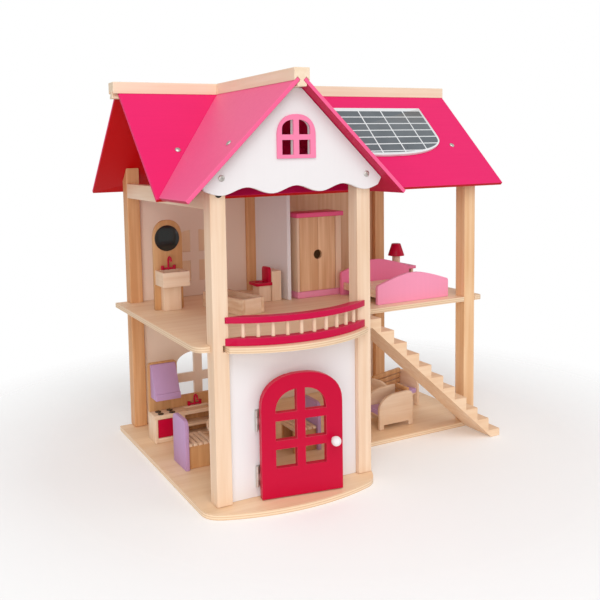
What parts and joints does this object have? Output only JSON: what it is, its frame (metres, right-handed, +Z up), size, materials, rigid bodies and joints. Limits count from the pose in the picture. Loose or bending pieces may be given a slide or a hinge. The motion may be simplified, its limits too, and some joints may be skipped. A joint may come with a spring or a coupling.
{
  "type": "dollhouse",
  "caption": "Open-sided two-storey wooden dollhouse with a cross gable roof, curved balcony, outside stair, hinged door and loose furniture.",
  "frame": {"origin": "centre of the bounding box in plan, on the table the base stands on", "axes": "+X along the ridge to the viewer's right, +Y to the rear, +Z up"},
  "size_m": [0.558, 0.3896, 0.525],
  "materials": {
    "pine": "clear-lacquered pale pine",
    "ply": "clear-lacquered plywood",
    "roof_pink": "satin bright pink paint on plywood",
    "deep_pink": "satin deep pink paint on wood",
    "pale_pink": "satin pale pink paint on wood",
    "white_paint": "satin white paint on plywood",
    "lilac": "satin lilac paint on wood",
    "solar": "printed grid on white paint",
    "steel": "zinc-plated steel"
  },
  "bodies": {
    "house": {"armchair": "pine", "balcony_bottom_rail": "deep_pink", "balcony_top_rail": "deep_pink", "baluster_01": "pine", "baluster_02": "pine", "baluster_03": "pine", "baluster_04": "pine", "baluster_05": "pine", "baluster_06": "pine", "baluster_07": "pine", "baluster_08": "pine", "baluster_09": "pine", "baluster_10": "pine", "base_board": "ply", "bathtub": "pine", "bed_base": "pine", "bed_footboard": "pale_pink", "bed_headboard": "pale_pink", "bedside_cabinet": "pine", "chair_left": "lilac", "chair_right": "lilac", "front_wall": "white_paint", "gable_board": "white_paint", "gable_ridge_beam": "pine", "gable_roof_left": "roof_pink", "gable_roof_right": "roof_pink", "gable_window_frame": "pale_pink", "hinge_lower_wall_leaf": "steel", "hinge_upper_wall_leaf": "steel", "kitchen_unit": "pine", "left_top_rail": "pine", "main_ridge_beam": "pine", "post_front_left": "pine", "post_front_right": "pine", "post_rear_left": "pine", "post_rear_middle": "pine", "post_rear_right": "pine", "post_right_front": "pine", "rear_wall_lower_left": "white_paint", "rear_wall_lower_right": "white_paint", "rear_wall_upper_left": "white_paint", "rear_wall_upper_right": "white_paint", "roof_front_panel": "roof_pink", "roof_rear_panel": "roof_pink", "round_table": "pine", "sofa": "pine", "solar_panel": "solar", "stairs": "ply", "table_lamp": "deep_pink", "toilet": "pine", "upper_floor": "ply", "upper_partition": "white_paint", "wardrobe_body": "pine", "washbasin": "pine"},
    "door": {"front_door": "deep_pink", "door_knob": "white_paint", "hinge_upper_door_leaf": "steel", "hinge_lower_door_leaf": "steel"},
    "wardrobe_left_door": {"wardrobe_door_left": "pine"},
    "wardrobe_right_door": {"wardrobe_door_right": "pine"}
  },
  "joints": [
    {"name": "front_door_hinge", "type": "hinge", "parent": "house", "child": "door", "pos_m": [-0.1734, -0.1533, 0.06], "axis": [0, 0, -1], "range_deg": [-9.2, 95]},
    {"name": "wardrobe_left_hinge", "type": "hinge", "parent": "house", "child": "wardrobe_left_door", "pos_m": [0.0124, 0.0532, 0.268], "axis": [0, 0, -1], "range_deg": [0, 90]},
    {"name": "wardrobe_right_hinge", "type": "hinge", "parent": "house", "child": "wardrobe_right_door", "pos_m": [0.0726, 0.0532, 0.268], "axis": [0, 0, 1], "range_deg": [0, 90]}
  ]
}
